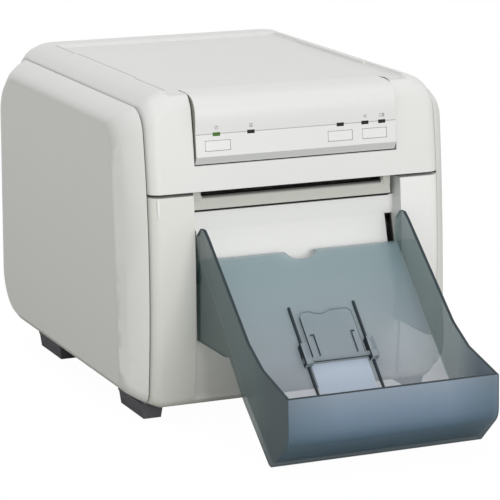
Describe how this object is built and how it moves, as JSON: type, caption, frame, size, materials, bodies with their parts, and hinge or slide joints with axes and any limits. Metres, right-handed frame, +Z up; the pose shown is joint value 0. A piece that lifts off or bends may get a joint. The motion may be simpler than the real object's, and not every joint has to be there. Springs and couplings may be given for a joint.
{
  "type": "photo printer",
  "caption": "Desktop dye-transfer photo printer with a pull-out front drawer, top-front control panel, exit slot and a clear lift-off print tray with a folding stop.",
  "frame": {"origin": "middle of the whole footprint, tray included, on the surface that the feet stand on", "axes": "+X to the right of a user who stands in front, +Y from the tray to the rear, +Z up"},
  "size_m": [0.28, 0.4822, 0.255],
  "materials": {
    "cover": "fine satin, warm light grey",
    "panel": "fine satin",
    "dark_plastic": "satin",
    "lens_green": "lit",
    "lens_dark": "unlit",
    "tray_clear": "clear blue grey",
    "steel": "zinc plated",
    "bright_steel": "ground",
    "rubber": "matt",
    "foot_rubber": "matt",
    "aluminium": "extruded",
    "ceramic": "glazed",
    "paper": "photo paper",
    "ribbon": "dye film",
    "gear_plastic": "moulded",
    "board": "circuit board",
    "black_plastic": "moulded"
  },
  "bodies": {
    "printer_body": {"top_cover": "cover", "control_panel": "panel", "panel_board": "board", "power_lamp_lens": "lens_green", "signal_lamp_lenses": "lens_dark", "exit_guide": "dark_plastic", "right_side_panel": "cover", "left_side_panel": "cover", "rear_panel": "cover", "base_pan": "steel", "rubber_feet": "foot_rubber", "right_frame_plate": "steel", "left_frame_plate": "steel", "front_bridge": "steel", "fixed_blade": "bright_steel", "cutter_rod": "bright_steel", "pinch_bracket": "steel", "outer_slides": "steel", "head_pivot_rod": "bright_steel", "board_shelf": "steel", "main_board": "board", "data_socket": "steel", "power_inlet": "black_plastic", "power_supply": "steel", "fan_frame": "black_plastic", "rear_screws": "bright_steel"},
    "slide_middles": {"middle_slides": "steel"},
    "drawer": {"drawer_front": "cover", "inner_slides": "steel", "right_drawer_plate": "steel", "left_drawer_plate": "steel", "drawer_pan": "steel", "roller_bushes": "gear_plastic", "feed_motor": "steel", "ribbon_motor": "steel"},
    "platen": {"platen_roller": "rubber"},
    "capstan": {"capstan_roller": "bright_steel", "capstan_gear": "gear_plastic"},
    "idler": {"idler_gear": "gear_plastic"},
    "feed_drive": {"feed_pinion": "gear_plastic"},
    "take_up": {"take_up_spool": "gear_plastic", "take_up_ribbon": "ribbon", "take_up_gear": "gear_plastic"},
    "ribbon_drive": {"ribbon_pinion": "gear_plastic"},
    "supply": {"supply_spool": "gear_plastic", "supply_ribbon": "ribbon"},
    "paper": {"paper_roll": "paper", "roll_holders": "gear_plastic"},
    "pinch": {"pinch_roller": "rubber"},
    "head": {"head_frame": "steel", "heat_sink": "aluminium", "thermal_head": "ceramic"},
    "cutter": {"cutter_carriage": "black_plastic"},
    "cutting_disc": {"round_blade": "bright_steel"},
    "fan": {"fan_rotor": "black_plastic"},
    "power_key": {"power_button": "panel"},
    "left_key": {"left_button": "panel"},
    "right_key": {"right_button": "panel"},
    "tray": {"print_tray": "tray_clear"},
    "flap": {"stopper_flap": "tray_clear"}
  },
  "joints": [
    {"name": "drawer_slide", "type": "slide", "parent": "printer_body", "child": "drawer", "axis": [0, -1, 0], "range_m": [0, 0.19]},
    {"name": "middle_slide", "type": "slide", "parent": "printer_body", "child": "slide_middles", "axis": [0, -1, 0], "range_m": [0, 0.095]},
    {"name": "platen_spin", "type": "hinge", "parent": "drawer", "child": "platen", "pos_m": [0, 0.00507, 0.152], "axis": [1, 0, 0], "continuous": true},
    {"name": "capstan_spin", "type": "hinge", "parent": "drawer", "child": "capstan", "pos_m": [0, -0.01893, 0.155], "axis": [1, 0, 0], "continuous": true},
    {"name": "idler_spin", "type": "hinge", "parent": "drawer", "child": "idler", "pos_m": [0, -0.00481, 0.12844], "axis": [1, 0, 0], "continuous": true},
    {"name": "feed_pinion_spin", "type": "hinge", "parent": "drawer", "child": "feed_drive", "pos_m": [0, 0.00394, 0.1044], "axis": [1, 0, 0], "continuous": true},
    {"name": "take_up_spin", "type": "hinge", "parent": "drawer", "child": "take_up", "pos_m": [0, -0.02693, 0.13], "axis": [1, 0, 0], "continuous": true},
    {"name": "ribbon_pinion_spin", "type": "hinge", "parent": "drawer", "child": "ribbon_drive", "pos_m": [0, -0.01054, 0.10659], "axis": [1, 0, 0], "continuous": true},
    {"name": "supply_spin", "type": "hinge", "parent": "drawer", "child": "supply", "pos_m": [0, 0.04507, 0.134], "axis": [1, 0, 0], "continuous": true},
    {"name": "paper_spin", "type": "hinge", "parent": "drawer", "child": "paper", "pos_m": [0, 0.11907, 0.086], "axis": [1, 0, 0], "continuous": true},
    {"name": "pinch_spin", "type": "hinge", "parent": "printer_body", "child": "pinch", "pos_m": [0, -0.01893, 0.1664], "axis": [1, 0, 0], "continuous": true},
    {"name": "head_hinge", "type": "hinge", "parent": "printer_body", "child": "head", "pos_m": [0, 0.09707, 0.196], "axis": [1, 0, 0], "range_deg": [0, 3]},
    {"name": "cutter_slide", "type": "slide", "parent": "printer_body", "child": "cutter", "axis": [1, 0, 0], "range_m": [0, 0.163]},
    {"name": "cutting_disc_spin", "type": "hinge", "parent": "cutter", "child": "cutting_disc", "pos_m": [-0.0815, -0.03733, 0.1735], "axis": [0, 1, 0], "continuous": true},
    {"name": "fan_spin", "type": "hinge", "parent": "printer_body", "child": "fan", "pos_m": [-0.062, 0.22707, 0.19], "axis": [0, 1, 0], "continuous": true},
    {"name": "power_key_press", "type": "slide", "parent": "printer_body", "child": "power_key", "axis": [0, 1, 0], "range_m": [0, 0.0012], "stiffness_N_per_m": 400},
    {"name": "left_key_press", "type": "slide", "parent": "printer_body", "child": "left_key", "axis": [0, 1, 0], "range_m": [0, 0.0012], "stiffness_N_per_m": 400},
    {"name": "right_key_press", "type": "slide", "parent": "printer_body", "child": "right_key", "axis": [0, 1, 0], "range_m": [0, 0.0012], "stiffness_N_per_m": 400},
    {"name": "tray_lift", "type": "slide", "parent": "drawer", "child": "tray", "axis": [0, -0.3, 0.9539], "range_m": [0, 0.12]},
    {"name": "flap_hinge", "type": "hinge", "parent": "tray", "child": "flap", "pos_m": [0, -0.14921, 0.06141], "axis": [1, 0, 0], "range_deg": [0, 95]}
  ],
  "couplings": [
    {"joint": "middle_slide", "follows": "drawer_slide", "ratio": 0.5},
    {"joint": "idler_spin", "follows": "capstan_spin", "ratio": -0.81818},
    {"joint": "feed_pinion_spin", "follows": "capstan_spin", "ratio": 1.5},
    {"joint": "ribbon_pinion_spin", "follows": "take_up_spin", "ratio": -2.1667}
  ]
}
